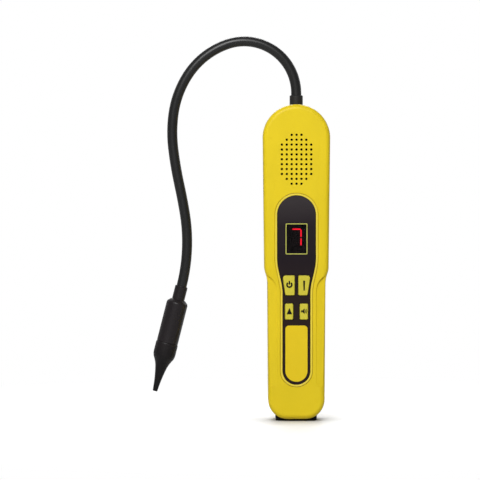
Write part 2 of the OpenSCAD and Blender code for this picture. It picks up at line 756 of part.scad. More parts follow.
module speaker_frame() color(steel) upright() difference() {
    translate([0, grille_height, 0]) union() {
        post([0, 0], speaker_dia, [basket_front - speaker_depth/3, basket_front]);
        post([0, 0], magnet_dia*1.3, [basket_front - speaker_depth, basket_front - speaker_depth/4]);
        post([0, 0], magnet_dia, [basket_front - speaker_depth - magnet_depth,
            basket_front - speaker_depth + gap]);
    }
    post([0, grille_height], speaker_dia - wall*2, [basket_front - speaker_depth/4, basket_front + over]);
    post([0, grille_height], magnet_dia, [basket_front - speaker_depth*2/3, basket_front + over]);
}
module speaker_cone() color(black) upright() translate([0, grille_height, 0]) rotate_extrude() {
    r = speaker_dia/2 - wall - gap;
    q = magnet_dia/2 - gap;
    polygon([[0, basket_front - speaker_depth/2], [q/2, basket_front - speaker_depth*0.6],
        [q, basket_front - speaker_depth/4 + gap], [r, basket_front - speaker_depth/4 + gap],
        [r, basket_front - gap*5], [q, basket_front - gap*5],
        [q/2, basket_front - speaker_depth*0.45], [0, basket_front - speaker_depth*0.35]]);
}
module pump_motor() color(steel) upright() translate([gap, pump_height, pump_z]) rotate([0, 90, 0])
    difference() {
        cylinder(d = motor_dia, h = motor_length);
        translate([0, 0, motor_length - over]) difference() {
            cylinder(d = motor_dia*0.7, h = over*2);
            cylinder(d = motor_dia*0.3, h = over*2);
        }
    }
module pump_head() color(grey) upright() {
    s = pump_head_size;
    block([-s[0], 0], [pump_height - s[1]/2, pump_height + s[1]/2], [pump_z - s[2]/2, pump_z + s[2]/2]);
    translate([-s[0]/2, pump_height + s[1]/2 - gap, pump_z]) rotate([-90, 0, 0])
        cylinder(d = tube_bore - gap, h = wall*2);
}
tube_start = [-pump_head_size[0]/2, pump_height + pump_head_size[1]/2 + gap];
tube_bend = tube_dia*3;
tube_turn = acos(1 + tube_start[0]/2/tube_bend);
tube_low = 2*tube_bend*sin(tube_turn);
tube_run = nut_ends[0] - wall - tube_start[1] - tube_low;
tube_path = [[0, tube_run*0.6], [tube_bend, -tube_turn], [tube_bend, tube_turn], [0, tube_run*0.4]];
module pump_tube() color([0.85, 0.88, 0.85]) upright() translate([0, 0, pump_z])
    difference() {
        rod([tube_start[0], tube_start[1], 90], tube_path, tube_dia);
        rod([tube_start[0], tube_start[1], 90], tube_path, tube_bore);
    }
module battery_cover() color(yellow) upright() {
    intersection() {
        rear_hull();
        slab([back - over, back + back_round]) cover_shape(0);
    }
    slab([back + wall - gap, back + wall + cover_skirt]) difference() {
        cover_shape(-cover_gap);
        cover_shape(-bay_wall - cover_gap);
    }
    for (k = [0:4]) translate([0, cover_ends[1] - rib_pitch*(k + 2), back])
        rotate([0, 90, 0]) translate([0, 0, -cover_half/2]) cylinder(d = wall/3, h = cover_half);
}
module battery_cells() color([0.2, 0.22, 0.25]) upright()
    for (s = [-1, 1], k = [0, 1]) translate([cell_x*s, cell_bottom + cell_length*k, cell_z])
        rotate([-90, 0, 0]) {
            translate([0, 0, gap/2]) cylinder(d = cell_dia, h = cell_length - nub_length - gap/2);
            cylinder(d = nub_dia, h = cell_length - gap/2);
        }
module contact_plates() color(steel) upright() {
    w = cell_x + cell_dia/3;
    block([-w, w], [bay_y[0], bay_y[0] + contact_thick], [cell_z - cell_dia/3, cell_z + cell_dia/3]);
    for (s = [-1, 1]) translate([cell_x*s, bay_y[1] - contact_thick, cell_z]) block(
        [-cell_dia/3, cell_dia/3], [0, contact_thick], [-cell_dia/3, cell_dia/3]);
}
module contact_springs() color(steel) upright() for (s = [-1, 1], k = [0:3])
    translate([cell_x*s, cells_top + spring_wire*(k + 0.5), cell_z]) rotate([-90, 0, 0])
        rotate_extrude() translate([cell_dia/5 + spring_wire*k/4, 0]) circle(d = spring_round);
module housing_screws() color(steel) upright() for (p = screws) difference() {
    union() {
        post(p, screw_head, [head_seat - screw_head_high, head_seat]);
        post(p, screw_dia*5/6 - gap/5, [head_seat - gap, head_seat + screw_length]);
    }
    for (a = [0, 90]) translate([p[0], p[1], head_seat - screw_head_high]) rotate([0, 0, a])
        cube([screw_head*0.6, screw_dia/5, screw_head_high], center = true);
}
module gland_collar() color(black) upright() translate([0, gland_bottom, 0]) rotate([-90, 0, 0])
    rotate_extrude() {
        high = gland_top - gland_bottom;
        bore = arm_dia/2 + gap/4;
        edge = gland_dia/2;
        soft = (edge - bore)/2;
        polygon([[bore, 0], [edge, 0], [edge, high - soft], [edge - soft, high], [bore, high]]);
    }
module gland_nut() color(steel) upright() translate([0, nut_ends[0], 0]) rotate([-90, 0, 0])
    linear_extrude(nut_ends[1] - nut_ends[0]) difference() {
        polygon([for (k = [0:5]) nut_flats/sqrt(3)*[cos(k*60), sin(k*60)]]);
        circle(d = gland_dia + gap/5);
    }
arm_in = [0, gland_top + arm_rise - gland_bottom];
arm_path = concat([arm_in], arm_steps, [[0, tip_collar_length + wall]]);
module arm_jacket() color(black) upright()
    difference() {
        rod([0, gland_bottom, 90], arm_path, arm_dia);
        rod([0, gland_bottom, 90], arm_path, arm_bore);
    }
module arm_core() color(steel) upright()
    difference() {
        rod([0, gland_bottom, 90], arm_path, arm_bore - gap);
        rod([0, gland_bottom, 90], arm_path, core_bore);
    }
// places a piece turned about the tip axis; distances run from the end of the bends
module tip() upright() translate([tip_pose[0], tip_pose[1], 0]) rotate([90, 0, tip_pose[2] + 90])
    translate([0, 0, 0]) children();
module turned(pts) tip() rotate_extrude() polygon(pts);
module tip_collar() color(black) turned([[arm_dia/2 + gap/4, 0], [tip_collar_dia/2 - gap*3, 0],
    [tip_collar_dia/2, gap*3], [tip_collar_dia/2, tip_collar_length], [arm_dia/2 + gap/4,
    tip_collar_length]]);
barrel_r = barrel_dia/2;
shoulder = tip_collar_length - wall/4;
barrel_in = barrel_r - tip_wall;
spigot_r = nose_half[0] - tip_wall;
module tip_barrel() color(black) difference() {
    turned([[tip_collar_dia/2 + gap/4, shoulder], [tip_collar_dia/2 + tip_wall/2, shoulder],
        [barrel_r - tip_wall/3, shoulder + wall*0.9], [barrel_r, shoulder + wall*1.4],
        [barrel_r, barrel_end], [spigot_r, barrel_end], [spigot_r, barrel_end + spigot],
        [spigot_r - tip_wall, barrel_end + spigot], [spigot_r - tip_wall, barrel_end - spigot/2],
        [barrel_in, barrel_end - spigot], [barrel_in, shoulder + wall*2],
        [tip_collar_dia/2 - tip_wall/2, shoulder + wall*1.2],
        [arm_dia/2 + gap/4, shoulder + wall*1.2], [arm_dia/2 + gap/4, tip_collar_length + gap/4],
        [tip_collar_dia/2 + gap/4, tip_collar_length + gap/4]]);
}
nose_outer = [for (i = [0:len(nose_half) - 1]) [nose_half[i], nose_along[i]]];
nose_count = len(nose_half);
nose_inner = [for (i = [nose_count - 2:-1:4]) [max(nose_half[i] - tip_wall, nose_bore/2),
    nose_along[i]]];
nose_seat = spigot_r + gap/2;
module tip_nose() color(black) turned(concat(nose_outer,
    [[nose_bore/2, nose_along[nose_count - 1]]], nose_inner,
    [[nose_half[4] - tip_wall, barrel_end + spigot + over], [nose_seat, barrel_end + spigot + over],
    [nose_seat, nose_along[0]]]));
socket_from = barrel_end + spigot/3;
module sensor_socket() color(grey) tip() translate([0, 0, socket_from])
    cylinder(r = spigot_r - tip_wall - gap/4, h = spigot/2);
can_from = socket_from + spigot/2;
module sensor_can() color(steel) tip() {
    translate([0, 0, can_from]) cylinder(d = can_dia + gap*4, h = wall/3);
    translate([0, 0, can_from]) cylinder(d = can_dia - gap*4, h = can_length);
}
module tip_filter() color([0.95, 0.95, 0.92]) tip() {
    k = 8;
    translate([0, 0, nose_along[k] + gap])
        cylinder(r = nose_half[k + 1] - tip_wall - gap/4, h = tip_wall);
}

front_shell();
rear_shell();
foot_pad();
panel_rim();
key_panel();
window_frame();
display_lens();
digit_module();
digit_lit();
digit_unlit();
key_power();
key_level();
key_alarm();
key_reset();
key_switches();
inlay_plate();
circuit_board();
board_screws();
grille_felt();
speaker_frame();
speaker_cone();
pump_motor();
pump_head();
pump_tube();
battery_cover();
battery_cells();
contact_plates();
contact_springs();
housing_screws();
gland_collar();
gland_nut();
arm_jacket();
arm_core();
tip_collar();
tip_barrel();
sensor_socket();
sensor_can();
tip_nose();
tip_filter();
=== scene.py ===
# %% [markdown]
# # Refrigerant leak detector
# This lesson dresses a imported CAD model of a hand-held leak detector: a yellow two-part housing,
# a black key panel with a lit digit, a bent arm and a dark sensing tip. The CAD gives the frame,
# so every piece is made in metres, at the place where the CAD says it is.

# %% Load the frame
import math
import bmesh
import bpy
from mathutils import Matrix, Vector


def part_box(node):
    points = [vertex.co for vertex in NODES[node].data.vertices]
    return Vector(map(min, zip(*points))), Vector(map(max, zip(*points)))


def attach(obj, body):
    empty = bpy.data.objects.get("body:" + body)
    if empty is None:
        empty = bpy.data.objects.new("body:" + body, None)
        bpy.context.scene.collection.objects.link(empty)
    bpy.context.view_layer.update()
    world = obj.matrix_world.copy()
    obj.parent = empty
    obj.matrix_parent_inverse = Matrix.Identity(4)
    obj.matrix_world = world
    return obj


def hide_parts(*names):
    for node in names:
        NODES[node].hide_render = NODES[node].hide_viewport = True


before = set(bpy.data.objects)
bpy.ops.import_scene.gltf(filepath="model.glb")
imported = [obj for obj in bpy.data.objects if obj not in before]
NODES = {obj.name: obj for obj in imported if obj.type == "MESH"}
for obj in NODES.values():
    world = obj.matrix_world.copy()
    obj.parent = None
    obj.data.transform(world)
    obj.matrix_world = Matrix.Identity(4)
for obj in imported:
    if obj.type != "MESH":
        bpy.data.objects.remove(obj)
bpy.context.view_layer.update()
MM = 0.001

# %% [markdown]
# ## Camera
# The photograph looks at the face from nearly straight ahead and a little above, through a long
# lens, so edges that run away from us hardly shrink. A long focal length far away gives that. The
# view is turned about a point near the middle of the picture, which is left of the body because
# the arm hangs out to that side.

# %% Camera
VIEW_WIDTH = 0.349
VIEW_CENTRE = Vector((-0.0409, -0.006, 0.1312))
VIEW_RISE = math.radians(2.0)
VIEW_DISTANCE = 2.5
VIEW_CLIP = (0.1, 20)
SENSOR = 36.0


def make_camera():
    data = bpy.data.cameras.new("Camera")
    data.sensor_width = SENSOR
    data.lens = SENSOR * VIEW_DISTANCE / VIEW_WIDTH
    data.clip_start, data.clip_end = VIEW_CLIP
    camera = bpy.data.objects.new("Camera", data)
    bpy.context.scene.collection.objects.link(camera)
    back = Vector((0, -math.cos(VIEW_RISE), math.sin(VIEW_RISE)))
    camera.location = VIEW_CENTRE + back * VIEW_DISTANCE
    camera.rotation_euler = (-back).to_track_quat("-Z", "Y").to_euler()
    bpy.context.scene.camera = camera
    return camera


camera = make_camera()
print("lens mm", round(camera.data.lens, 1))

# %% [markdown]
# ## Lamps
# A product picture like this is lit by large soft lamps. The strong one stands in front, high up
# and a little left, so the crown is bright and the left edge is lighter than the right. Nothing
# bright stands beside the object, so its rounded sides fall off darker, as in the photograph. One
# lamp behind it and two weak ones behind its sides are there for the views from those sides.

# %% Lamps
BODY_MIDDLE = Vector((0, 0, 0.13))
# Each lamp has a name, a place, the length of its side in metres, and a power in watts.
LAMPS = (
    ("KeyLamp", (-0.32, -1.22, 1.02), 0.6, 18.4),
    ("FillLamp", (0.08, -1.30, 1.00), 0.6, 2.0),
    ("BackLamp", (0.0, 1.15, 1.05), 0.9, 13.0),
    ("RightSideLamp", (1.15, 1.05, 0.70), 0.7, 2.2),
    ("LeftSideLamp", (-1.15, 1.05, 0.70), 0.7, 1.5),
)


def soft_lamp(name, place, side, power):
    """A square area lamp that looks at the middle of the body."""
    data = bpy.data.lights.new(name, "AREA")
    data.shape = "SQUARE"
    data.size = side
    data.energy = power
    lamp = bpy.data.objects.new(name, data)
    bpy.context.scene.collection.objects.link(lamp)
    lamp.location = place
    lamp.rotation_euler = (BODY_MIDDLE - Vector(place)).to_track_quat("-Z", "Y").to_euler()


for lamp in LAMPS:
    soft_lamp(*lamp)
print("lamps", len(LAMPS))

# %% [markdown]
# ## White surround
# The white surround isn't made by more light: the world and the floor are simply white where the
# camera looks at them, straight on or through the lens. Gloss mirrors only a share of that white,
# because a dark panel or a rubber sleeve would turn grey under all of it. Everything else about
# the world and the floor is real: dim air, and a matt card that takes light and gives it back.

# %% World
GLOSS_SHARE = 0.3
WHITE = (1, 1, 1, 1)
AIR_COLOUR = (0.97, 0.98, 1, 1)
AIR_STRENGTH = 0.08


def empty_tree(owner):
    """Switches nodes on for a world or a material, and takes out those it starts with."""
    owner.use_nodes = True
    owner.node_tree.nodes.clear()
    return owner.node_tree


def camera_mix(tree, seen, other):
    """The shader called seen for the camera, the lens and a share of gloss, else the other."""
    path = tree.nodes.new("ShaderNodeLightPath")
    sight = path.outputs["Is Camera Ray"]
    for kind, share in (("Is Glossy Ray", GLOSS_SHARE), ("Is Transmission Ray", 1.0)):
        add = tree.nodes.new("ShaderNodeMath")
        add.operation = "MULTIPLY_ADD"
        add.use_clamp = True
        tree.links.new(path.outputs[kind], add.inputs[0])
        add.inputs[1].default_value = share
        tree.links.new(sight, add.inputs[2])
        sight = add.outputs[0]
    mix = tree.nodes.new("ShaderNodeMixShader")
    tree.links.new(sight, mix.inputs[0])
    tree.links.new(other, mix.inputs[1])
    tree.links.new(seen, mix.inputs[2])
    return mix.outputs[0]


def make_world():
    world = bpy.data.worlds.new("Studio")
    tree = empty_tree(world)
    out = tree.nodes.new("ShaderNodeOutputWorld")
    white = tree.nodes.new("ShaderNodeBackground")
    white.inputs["Color"].default_value = WHITE
    white.inputs["Strength"].default_value = 1.0
    air = tree.nodes.new("ShaderNodeBackground")
    air.inputs["Color"].default_value = AIR_COLOUR
    air.inputs["Strength"].default_value = AIR_STRENGTH
    tree.links.new(camera_mix(tree, white.outputs[0], air.outputs[0]), out.inputs["Surface"])
    bpy.context.scene.world = world


make_world()
bpy.context.scene.view_settings.view_transform = "Standard"
print("world", bpy.context.scene.world.name)

# %% [markdown]
# ## Floor
# Near the object the floor shows its card, lifted almost to white, so the lamps' shadows stay. The
# lift is weaker where something stands close above the card: a painted contact shadow that darkens
# the ground under the foot. Further out the card fades into plain white, and the floor has no edge
# in the picture.

# %% Floor
CARD_COLOUR = (0.55, 0.55, 0.56, 1)
CARD_ROUGH = 0.55
FLOOR_HALF = 4            # half the side of the square, in metres
FLOOR_LIFT = 0.55         # glow that is added to the card
# The weakening of the glow near the object is a painted contact shadow.
PAINTED_SHADOW_REACH = 0.045       # how near a thing has to be to weaken the glow, in metres
PAINTED_SHADOW_POWER = 2.2         # draws this darkening in towards the contact
PAINTED_SHADOW_SAMPLES = 12
FLOOR_FADE = (0.12, 0.4)  # distances where the card starts and ends to fade, in metres


def card_with_painted_shadow(tree, card):
    """The card with its glow, which fails close to whatever stands on the floor: painted shadow.
    """
    close = tree.nodes.new("ShaderNodeAmbientOcclusion")
    close.samples = PAINTED_SHADOW_SAMPLES
    close.inputs["Distance"].default_value = PAINTED_SHADOW_REACH
    power = tree.nodes.new("ShaderNodeMath")
    power.operation = "POWER"
    tree.links.new(close.outputs["AO"], power.inputs[0])
    power.inputs[1].default_value = PAINTED_SHADOW_POWER
    glow = tree.nodes.new("ShaderNodeEmission")
    glow.inputs["Color"].default_value = (FLOOR_LIFT, FLOOR_LIFT, FLOOR_LIFT, 1)
    tree.links.new(power.outputs[0], glow.inputs["Strength"])
    both = tree.nodes.new("ShaderNodeAddShader")
    tree.links.new(card, both.inputs[0])
    tree.links.new(glow.outputs[0], both.inputs[1])
    return both.outputs[0]


def far_white(tree, near):
    """The shader called near, fading into plain white with the distance from the middle."""
    place = tree.nodes.new("ShaderNodeTexCoord")
    distance = tree.nodes.new("ShaderNodeVectorMath")
    distance.operation = "LENGTH"
    tree.links.new(place.outputs["Object"], distance.inputs[0])
    fade = tree.nodes.new("ShaderNodeMapRange")
    fade.interpolation_type = "SMOOTHSTEP"
    fade.inputs["From Min"].default_value, fade.inputs["From Max"].default_value = FLOOR_FADE
    tree.links.new(distance.outputs["Value"], fade.inputs["Value"])
    white = tree.nodes.new("ShaderNodeEmission")
    white.inputs["Color"].default_value = WHITE
    white.inputs["Strength"].default_value = 1.0
    mix = tree.nodes.new("ShaderNodeMixShader")
    tree.links.new(fade.outputs["Result"], mix.inputs[0])
    tree.links.new(near, mix.inputs[1])
    tree.links.new(white.outputs[0], mix.inputs[2])
    return mix.outputs[0]


def floor_paint():
    paint = bpy.data.materials.new("WhiteFloor")
    tree = empty_tree(paint)
    out = tree.nodes.new("ShaderNodeOutputMaterial")
    card = tree.nodes.new("ShaderNodeBsdfPrincipled")
    card.inputs["Base Color"].default_value = CARD_COLOUR
    card.inputs["Roughness"].default_value = CARD_ROUGH
    seen = far_white(tree, card_with_painted_shadow(tree, card.outputs[0]))
    tree.links.new(camera_mix(tree, seen, card.outputs[0]), out.inputs["Surface"])
    return paint


def make_floor():
    bm = bmesh.new()
    bmesh.ops.create_grid(bm, x_segments=1, y_segments=1, size=FLOOR_HALF)
    mesh = bpy.data.meshes.new("Floor")
    bm.to_mesh(mesh)
    bm.free()
    mesh.materials.append(floor_paint())
    floor = bpy.data.objects.new("Floor", mesh)
    bpy.context.scene.collection.objects.link(floor)


make_floor()
print("floor m", 2 * FLOOR_HALF)

# %% [markdown]
# ## Finishes
# Moulded plastic looks real through small things: a faint orange-peel in the gloss, a fine spark
# grain in the mould, slight drifts of colour, and fine dust and rub marks that change only the
# roughness. A small helper adds the nodes, and one function builds the whole stack, so each finish
# only sets its own numbers. Sizes are given in millimetres here, since all of them are small.

# %% Helper for node trees
ROUND_SAMPLES = 4


class Finish:
    """Builds one material, node by node, on Object coordinates. Its lengths are millimetres."""

    def __init__(self, name):
        self.material = bpy.data.materials.new(name)
        self.tree = empty_tree(self.material)
        out = self.node("OutputMaterial")
        self.skin = self.node("BsdfPrincipled")
        self.feed(out.inputs["Surface"], self.skin.outputs[0])
        self.place = self.node("TexCoord").outputs["Object"]
        self.relief = None

    def node(self, kind):
        return self.tree.nodes.new("ShaderNode" + kind)

    def feed(self, socket, value):
        """Links an output to a socket, or writes a number or a colour into the socket itself."""
        if isinstance(value, bpy.types.NodeSocket):
            self.tree.links.new(value, socket)
        else:
            socket.default_value = (*value, 1) if isinstance(value, tuple) else value

    def set(self, name, value):
        """Feeds one input of the surface shader."""
        self.feed(self.skin.inputs[name], value)

    def axis(self, letter):
        """One coordinate of the surface point, in metres."""
        split = self.node("SeparateXYZ")
        self.feed(split.inputs[0], self.place)
        return split.outputs[letter]

    def noise(self, size, detail=3.0, rough=0.5, stretch=(1, 1, 1)):
        """Noise whose grains are about size wide."""
        scale = self.node("Mapping")
        scale.inputs["Scale"].default_value = stretch
        self.feed(scale.inputs["Vector"], self.place)
        grains = self.node("TexNoise")
        grains.inputs["Scale"].default_value = 1 / (size * MM)
        grains.inputs["Detail"].default_value = detail
        grains.inputs["Roughness"].default_value = rough
        self.feed(grains.inputs["Vector"], scale.outputs[0])
        return grains.outputs["Fac"]

    def ramp(self, value, stops):
        """Turns a number into a colour. Each stop is a number and its colour."""
        node = self.node("ValToRGB")
        bar = node.color_ramp
        while len(bar.elements) < len(stops):
            bar.elements.new(0.5)
        for element, (at, colour) in zip(bar.elements, stops):
            element.position = at
            element.color = (*colour, 1)
        self.feed(node.inputs["Fac"], value)
        return node.outputs["Color"]

    def spread(self, value, low, high, from_low=0.3, from_high=0.7):
        """Carries a value into the range low to high. Noise stays mostly within 0.3 and 0.7."""
        node = self.node("MapRange")
        node.inputs["From Min"].default_value = from_low
        node.inputs["From Max"].default_value = from_high
        node.inputs["To Min"].default_value = low
        node.inputs["To Max"].default_value = high
        self.feed(node.inputs["Value"], value)
        return node.outputs["Result"]

    def mix(self, share, first, second):
        """The first colour, with a share of the second."""
        node = self.node("Mix")
        node.data_type = "RGBA"
        self.feed(node.inputs[0], share)
        self.feed(node.inputs[6], first)
        self.feed(node.inputs[7], second)
        return node.outputs[2]

    def maths(self, kind, a, b=0.0):
        node = self.node("Math")
        node.operation = kind
        self.feed(node.inputs[0], a)
        self.feed(node.inputs[1], b)
        return node.outputs[0]

    def rounded(self, radius):
        """Shades hard edges as if they were rounded by radius."""
        node = self.node("Bevel")
        node.samples = ROUND_SAMPLES
        node.inputs["Radius"].default_value = radius * MM
        self.relief = node.outputs["Normal"]
        self.set("Normal", self.relief)

    def bump(self, height, depth, strength):
        """Adds a relief of that depth. Each call stacks on the one before."""
        node = self.node("Bump")
        node.inputs["Distance"].default_value = depth * MM
        node.inputs["Strength"].default_value = strength
        self.feed(node.inputs["Height"], height)
        if self.relief:
            self.feed(node.inputs["Normal"], self.relief)
        self.relief = node.outputs["Normal"]
        self.set("Normal", self.relief)


def linear(red, green, blue):
    """A colour as a screen shows it, 0 to 255, in the linear values that shaders use."""
    def one(v):
        v /= 255
        return v / 12.92 if v <= 0.04045 else ((v + 0.055) / 1.055) ** 2.4
    return (one(red), one(green), one(blue))


def shade(colour, by):
    return tuple(min(1.0, c * by) for c in colour)


# %% [markdown]
# ## Plastics and rubber
# The two halves of the housing meet in one plane a little in front of the middle. The joint is too
# fine to model, so a thin dark line is painted where the surface crosses that plane. Two blacks
# change with height, and both changes are painted light: the key panel has a painted reflection
# that makes it a little paler where it widens at the head, and the nose of the tip has painted
# shade that makes it darker and duller at its mouth.

# %% The moulded finish
DRIFT_SIZE, SPECK_SIZE, RUB_SIZE, PEEL_SIZE = 35, 1.2, 18, 4
SPECK_SHARE, SPECK_SHADE = 0.12, 0.8
RUB_STRETCH = (1, 1, 0.35)  # rub marks are drawn out along the height
PEEL_DEPTH = 0.02
GRAIN_STRENGTH, PEEL_STRENGTH = 0.5, 0.35
COAT_ROUGH = 0.18
SEAM_HALF = 0.1 * MM
SEAM_SHARE, SEAM_SHADE = 0.72, 0.12


def moulded(name, colour, rough, grain=0.28, depth=0.012, drift=0.05, gloss=0.18,
            coat=0.0, metallic=0.0, edge=0.3, seam=None):
    """Injection-moulded plastic: drifting colour, spark grain, orange-peel and soft rub marks.

    The spark grain has a width, grain, and a relief, depth. Hard edges are shaded as if rounded
    by edge. A seam is the y of a dark joint line, in metres.
    """
    f = Finish(name)
    fine = f.noise(SPECK_SIZE, 4.0, 0.6)
    tone = f.ramp(f.noise(DRIFT_SIZE, 2.0), [(0.3, shade(colour, 1 - drift)),
                                             (0.7, shade(colour, 1 + drift / 2))])
    skin = f.mix(f.spread(fine, 0.0, SPECK_SHARE), tone, shade(colour, SPECK_SHADE))
    if seam is not None:
        away = f.maths("ABSOLUTE", f.maths("SUBTRACT", f.axis("Y"), seam))
        line = f.spread(away, SEAM_SHARE, 0.0, SEAM_HALF, SEAM_HALF * 2)
        skin = f.mix(line, skin, shade(colour, SEAM_SHADE))
    f.set("Base Color", skin)
    rub = f.spread(f.noise(RUB_SIZE, 5.0, 0.65, RUB_STRETCH), rough - 0.05, rough + 0.06)
    f.set("Roughness", f.maths("ADD", rub, f.spread(fine, -0.02, 0.03)))
    if edge:
        f.rounded(edge)
    f.bump(f.noise(grain, 2.0, 0.6), depth, GRAIN_STRENGTH)
    f.bump(f.noise(PEEL_SIZE, 1.5), PEEL_DEPTH, PEEL_STRENGTH)
    f.set("Specular IOR Level", gloss)
    f.set("Coat Weight", coat)
    f.set("Coat Roughness", COAT_ROUGH)
    f.set("Metallic", metallic)
    return f.material


# %% Panel and nose
# The panel's change with height is a painted reflection.
PANEL_REFLECTION_RUN = (0.085, 0.160)  # heights between which the panel's black changes, in metres
# The nose's change with height is painted shade.
NOSE_SHADE_RUN = (0.040, 0.058)   # the same for the nose
DARK_GLOSS = 0.2


def panel_finish_painted_reflection():
    """Key panel black: a painted reflection, a little paler at the head; a fine matt grain."""
    f = Finish("PanelBlackPaintedReflection")
    # Painted reflection: the black runs from a darker middle to a paler head.
    height = f.spread(f.axis("Z"), 0.0, 1.0, *PANEL_REFLECTION_RUN)
    run = f.ramp(height, [(0.0, linear(33, 17, 12)), (0.45, linear(19, 6, 16)),
                          (0.75, linear(26, 16, 22)), (1.0, linear(52, 46, 48))])
    specks = f.spread(f.noise(1.1, 4.0, 0.6), 0.0, 0.16)
    f.set("Base Color", f.mix(specks, run, linear(19, 11, 16)))
    f.set("Roughness", f.spread(f.noise(14, 5.0, 0.65), 0.36, 0.46))
    f.rounded(0.2)
    f.bump(f.noise(0.22, 2.0, 0.6), 0.01, GRAIN_STRENGTH)
    f.set("Specular IOR Level", DARK_GLOSS)
    return f.material


def nose_finish_painted_shade():
    """Black of the nose: like the barrel where it is wide; painted shade darkens its mouth."""
    f = Finish("NoseBlackPaintedShade")
    # Painted shade: the black darkens towards the mouth of the nose.
    height = f.spread(f.axis("Z"), 0.0, 1.0, *NOSE_SHADE_RUN)
    run = f.ramp(height, [(0.0, linear(10, 8, 9)), (1.0, linear(30, 26, 27))])
    specks = f.spread(f.noise(1.2, 4.0, 0.6), 0.0, 0.12)
    f.set("Base Color", f.mix(specks, run, linear(17, 14, 15)))
    f.set("Roughness", f.spread(f.noise(12, 5.0, 0.65), 0.36, 0.46))
    f.rounded(0.3)
    f.bump(f.noise(0.28, 2.0, 0.6), 0.006, GRAIN_STRENGTH)
    f.set("Specular IOR Level", DARK_GLOSS)
    return f.material


# %% Plastics and rubber
YELLOW = linear(234, 206, 33)
PARTING_Y = -2.0 * MM
shell_yellow = moulded("HousingYellow", YELLOW, 0.40, seam=PARTING_Y)
cover_yellow = moulded("CoverYellow", YELLOW, 0.42)
rim_yellow = moulded("RimYellow", linear(243, 218, 62), 0.28, drift=0.03, gloss=0.5)
plate_yellow = moulded("PlateYellow", linear(237, 205, 32), 0.42, depth=0.006, drift=0.03)
key_yellow = moulded("KeyYellow", linear(213, 200, 50), 0.42, drift=0.04, gloss=0.5)
panel_black_painted_reflection = panel_finish_painted_reflection()
# The foot is real rubber, and its black also stands in for the contact shadow under the body:
# partly painted shadow.
foot_rubber_and_painted_shadow = moulded("FootRubberAndPaintedShadow", linear(24, 23, 24), 0.75, drift=0.12, gloss=0.12)
gland_black = moulded("GlandBlack", linear(34, 33, 33), 0.45, depth=0.006, drift=0.08, gloss=0.3)
hose_rubber = moulded("HoseRubber", linear(20, 20, 20), 0.36, grain=0.35, depth=0.005,
                      drift=0.06, gloss=0.38)
tip_black = moulded("TipBlack", linear(28, 23, 25), 0.36, depth=0.006, drift=0.08, gloss=0.28)
nose_black_painted_shade = nose_finish_painted_shade()
print("finishes", len(bpy.data.materials))

# %% [markdown]
# ## Metals and inside parts
# Screws and contacts are plated, the arm's core is drawn steel and the nut is brass. Plain metal
# looks like plastic until its tool marks show, so one function lays fine marks into roughness and
# relief, stretched along the way the part was turned. The inside parts are seen only when the
# cover is off, yet they get finishes of their own, because the part is reused in other scenes.

# %% Metals, board and small parts
def metal(name, colour, rough, brushed=(1, 1, 1)):
    """Plated or machined metal with faint tool marks."""
    f = Finish(name)
    marks = f.noise(0.6, 4.0, 0.6, brushed)
    f.set("Base Color", f.mix(f.spread(f.noise(4), 0.0, 0.35), colour, shade(colour, 0.72)))
    f.set("Roughness", f.spread(marks, rough - 0.08, rough + 0.1))
    f.set("Metallic", 1.0)
    f.bump(marks, 0.01, 0.4)
    return f.material


steel = metal("ScrewSteel", (0.55, 0.55, 0.57), 0.28)
nickel = metal("ContactNickel", (0.68, 0.66, 0.6), 0.25, (1, 1, 6))
brass = metal("NutBrass", (0.66, 0.5, 0.22), 0.3, (1, 1, 8))
core_steel = metal("CoreSteel", (0.42, 0.42, 0.43), 0.35)
board_green = moulded("BoardGreen", (0.02, 0.13, 0.06), 0.35, grain=0.9, coat=0.3)
switch_grey = moulded("SwitchGrey", (0.06, 0.06, 0.065), 0.45)
cell_wrap = moulded("CellWrap", (0.045, 0.055, 0.075), 0.3, coat=0.2)
felt_black = moulded("FeltBlack", (0.004, 0.0035, 0.003), 0.95, grain=0.6, depth=0.12)
cone_paper = moulded("ConePaper", (0.03, 0.028, 0.026), 0.85, grain=0.8, depth=0.06)
tube_clear = moulded("AirTube", (0.62, 0.66, 0.62), 0.25)
filter_white = moulded("FilterWhite", (0.75, 0.74, 0.7), 0.9, grain=0.4, depth=0.06)
socket_grey = moulded("SocketGrey", (0.2, 0.2, 0.21), 0.5)
dark_frame = moulded("SpeakerFrame", (0.02, 0.02, 0.021), 0.45, metallic=0.6)
print("finishes", len(bpy.data.materials))

# %% [markdown]
# ## Display finishes
# The window is smoked acrylic in a black frame, and a fine olive line is printed on that frame.
# The line is drawn by the frame's own size: each point asks how far it is from the outer edge. The
# lens lets light through, so the lit bars show and the block behind them stays dark. It bends
# light less than real acrylic does, which keeps the white surround from veiling it.

# %% Display finishes
WINDOW_LINE = 0.5 * MM    # width of the olive line
WINDOW_EDGE = 0.52 * MM   # how far its middle lies inside the frame's outer edge
LINE_SOFT = 0.02 * MM
LENS_IOR = 1.25
BAR_GLOW = 5.4


